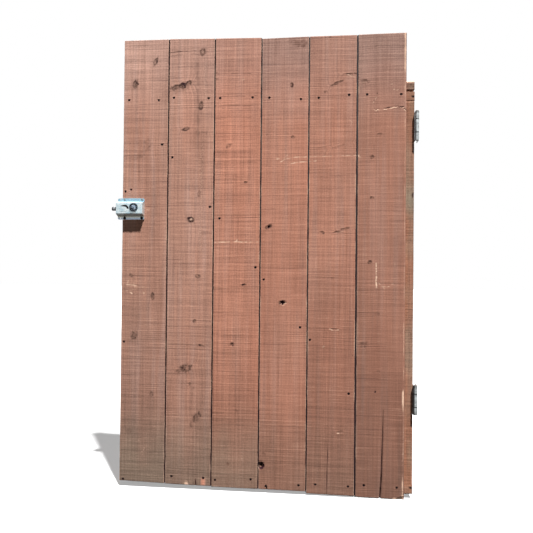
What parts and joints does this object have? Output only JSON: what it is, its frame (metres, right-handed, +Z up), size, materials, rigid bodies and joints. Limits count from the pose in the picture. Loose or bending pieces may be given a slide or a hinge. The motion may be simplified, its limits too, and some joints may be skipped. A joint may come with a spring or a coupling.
{
  "type": "wooden gate",
  "caption": "Upright plank gate nailed to a braced timber frame, with a surface rim lock whose round bolt is thrown and two butt hinges on one side.",
  "frame": {"origin": "middle of the underside of the box round the whole gate, lock and hinges included", "axes": "+X along the gate from the lock to the hinges, +Y from the boards' faces to the frame behind, +Z up"},
  "size_m": [1.241, 0.138, 1.847],
  "materials": {
    "stained_boards": "rough-sawn boards, weathered red-brown stain",
    "frame_timber": "sawn softwood, orange-brown stain, pale where it is bevelled",
    "nail_steel": "dull dark steel with a little rust",
    "zinc_sheet": "zinc-plated pressed sheet, satin, scuffed",
    "black_screws": "black coated screws",
    "bolt_steel": "turned steel, satin",
    "cylinder_zinc": "plated zinc casting, satin",
    "plug_chrome": "bright plated plug, worn",
    "galvanised_hinge": "galvanised steel, dull with white bloom",
    "hinge_pin_steel": "zinc-plated steel, dull"
  },
  "bodies": {
    "post_hinges": {"upper_hinge_post_leaf": "galvanised_hinge", "upper_hinge_pin": "hinge_pin_steel", "lower_hinge_post_leaf": "galvanised_hinge", "lower_hinge_pin": "hinge_pin_steel"},
    "gate": {"board_1": "stained_boards", "board_2": "stained_boards", "board_3": "stained_boards", "board_4": "stained_boards", "board_5": "stained_boards", "board_6": "stained_boards", "latch_stile": "frame_timber", "hinge_stile": "frame_timber", "top_rail": "frame_timber", "bottom_rail": "frame_timber", "brace": "frame_timber", "top_rail_nails": "nail_steel", "bottom_rail_nails": "nail_steel", "brace_nails": "nail_steel", "stile_nails": "nail_steel", "lap_nails": "nail_steel", "lock_case": "zinc_sheet", "lock_backplate": "zinc_sheet", "cylinder_body": "cylinder_zinc", "lock_screws_zinc": "zinc_sheet", "lock_screws_black": "black_screws", "upper_hinge_gate_leaf": "galvanised_hinge", "upper_hinge_screws": "hinge_pin_steel", "lower_hinge_gate_leaf": "galvanised_hinge", "lower_hinge_screws": "hinge_pin_steel"},
    "plug": {"cylinder_plug": "plug_chrome", "cam": "bolt_steel"},
    "bolt": {"bolt": "bolt_steel"}
  },
  "joints": [
    {"name": "gate_swing", "type": "hinge", "parent": "post_hinges", "child": "gate", "pos_m": [0.6125, -0.0315, 0.93], "axis": [0, 0, 1], "range_deg": [0, 110]},
    {"name": "plug_turn", "type": "hinge", "parent": "gate", "child": "plug", "pos_m": [-0.526, -0.06, 1.1475], "axis": [0, -1, 0], "range_deg": [0, 90]},
    {"name": "bolt_slide", "type": "slide", "parent": "gate", "child": "bolt", "axis": [1, 0, 0], "range_m": [0, 0.02]}
  ],
  "couplings": [
    {"joint": "plug_turn", "follows": "bolt_slide", "rad_per_m": 78.54}
  ]
}
